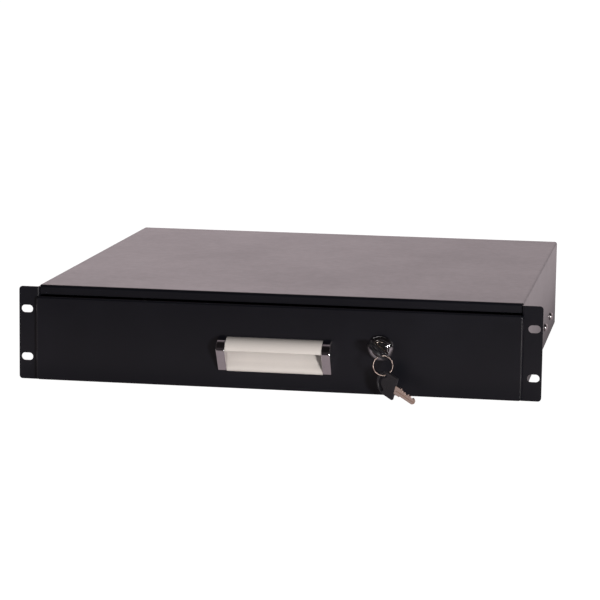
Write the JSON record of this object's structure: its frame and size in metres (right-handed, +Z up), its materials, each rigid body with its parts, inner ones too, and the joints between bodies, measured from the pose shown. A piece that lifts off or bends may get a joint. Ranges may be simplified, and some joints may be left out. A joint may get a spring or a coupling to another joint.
{
  "type": "sliding rack drawer",
  "caption": "Lockable two-unit sliding rack drawer: folded steel housing with slotted ears, a drawer on telescopic ball slides, a bar handle, and a cam lock with keys on a ring.",
  "frame": {"origin": "middle of the four rack slots, in the rear face of the ears", "axes": "+X to the right seen from the front, +Y to the rear of the rack, +Z up"},
  "size_m": [0.48, 0.4764, 0.0875],
  "materials": {
    "black_coat": "black satin powder coat, fine texture",
    "tray_coat": "black powder coat, semi-matt",
    "slide_zinc": "bright zinc plate with oil film",
    "cage_zinc": "thin zinc-plated strip",
    "ball_steel": "ground bearing steel",
    "screw_zinc": "bright zinc",
    "grip_satin": "satin anodised, warm silver",
    "cap_chrome": "polished chrome plate",
    "lock_chrome": "chrome-plated zinc casting",
    "cam_steel": "zinc-plated pressing",
    "key_nickel": "worn nickel plate over brass",
    "bow_plastic": "moulded black plastic",
    "ring_nickel": "nickel-plated flat wire"
  },
  "bodies": {
    "housing": {"housing": "black_coat", "front_lip": "black_coat", "rear_panel": "black_coat", "base_ties": "black_coat", "housing_screws": "screw_zinc", "slide_outer_left": "slide_zinc", "slide_outer_right": "slide_zinc"},
    "drawer": {"drawer_tray": "tray_coat", "tray_side_left": "tray_coat", "tray_side_right": "tray_coat", "tray_hem_left": "tray_coat", "tray_hem_right": "tray_coat", "tray_end_front": "tray_coat", "tray_end_rear": "tray_coat", "drawer_front": "black_coat", "tray_screws": "screw_zinc", "slide_inner_left": "slide_zinc", "slide_inner_right": "slide_zinc", "handle_grip": "grip_satin", "handle_cap_left": "cap_chrome", "handle_cap_right": "cap_chrome", "handle_screws": "screw_zinc", "lock_body": "lock_chrome", "lock_nut": "lock_chrome"},
    "middle_left": {"slide_middle_left": "slide_zinc"},
    "middle_right": {"slide_middle_right": "slide_zinc"},
    "outer_carriage_left": {"outer_cage_left": "cage_zinc", "outer_balls_left": "ball_steel"},
    "outer_carriage_right": {"outer_cage_right": "cage_zinc", "outer_balls_right": "ball_steel"},
    "inner_carriage_left": {"inner_cage_left": "cage_zinc", "inner_balls_left": "ball_steel"},
    "inner_carriage_right": {"inner_cage_right": "cage_zinc", "inner_balls_right": "ball_steel"},
    "plug": {"lock_plug": "lock_chrome", "lock_cam": "cam_steel", "cam_screw": "screw_zinc"},
    "key": {"key_blade": "key_nickel", "key_bow": "bow_plastic"},
    "ring": {"key_ring": "ring_nickel"},
    "spare_key": {"spare_key_blade": "key_nickel", "spare_key_bow": "bow_plastic"}
  },
  "joints": [
    {"name": "drawer_slide", "type": "slide", "parent": "housing", "child": "drawer", "axis": [0, -1, 0], "range_m": [0, 0.35]},
    {"name": "middle_slide_left", "type": "slide", "parent": "housing", "child": "middle_left", "axis": [0, -1, 0], "range_m": [0, 0.175]},
    {"name": "outer_carriage_slide_left", "type": "slide", "parent": "housing", "child": "outer_carriage_left", "axis": [0, -1, 0], "range_m": [0, 0.0875]},
    {"name": "inner_carriage_slide_left", "type": "slide", "parent": "middle_left", "child": "inner_carriage_left", "axis": [0, -1, 0], "range_m": [0, 0.0875]},
    {"name": "middle_slide_right", "type": "slide", "parent": "housing", "child": "middle_right", "axis": [0, -1, 0], "range_m": [0, 0.175]},
    {"name": "outer_carriage_slide_right", "type": "slide", "parent": "housing", "child": "outer_carriage_right", "axis": [0, -1, 0], "range_m": [0, 0.0875]},
    {"name": "inner_carriage_slide_right", "type": "slide", "parent": "middle_right", "child": "inner_carriage_right", "axis": [0, -1, 0], "range_m": [0, 0.0875]},
    {"name": "lock_turn", "type": "hinge", "parent": "drawer", "child": "plug", "pos_m": [0.096, -0.005, 0.0006], "axis": [0, 1, 0], "range_deg": [-37.7, 52.3]},
    {"name": "key_pull", "type": "slide", "parent": "plug", "child": "key", "axis": [0, -1, 0], "range_m": [0, 0.024]},
    {"name": "ring_swing", "type": "hinge", "parent": "key", "child": "ring", "pos_m": [0.09974, -0.03158, -0.00224], "axis": [-0.9415, -0.2901, -0.1717], "range_deg": [-25, 25]},
    {"name": "spare_key_swing", "type": "hinge", "parent": "ring", "child": "spare_key", "pos_m": [0.10308, -0.03337, -0.01933], "axis": [0.9481, 0.2866, 0.1376], "range_deg": [-25, 25]}
  ],
  "couplings": [
    {"joint": "middle_slide_left", "follows": "drawer_slide", "ratio": 0.5},
    {"joint": "outer_carriage_slide_left", "follows": "drawer_slide", "ratio": 0.25},
    {"joint": "inner_carriage_slide_left", "follows": "drawer_slide", "ratio": 0.25},
    {"joint": "middle_slide_right", "follows": "drawer_slide", "ratio": 0.5},
    {"joint": "outer_carriage_slide_right", "follows": "drawer_slide", "ratio": 0.25},
    {"joint": "inner_carriage_slide_right", "follows": "drawer_slide", "ratio": 0.25}
  ]
}
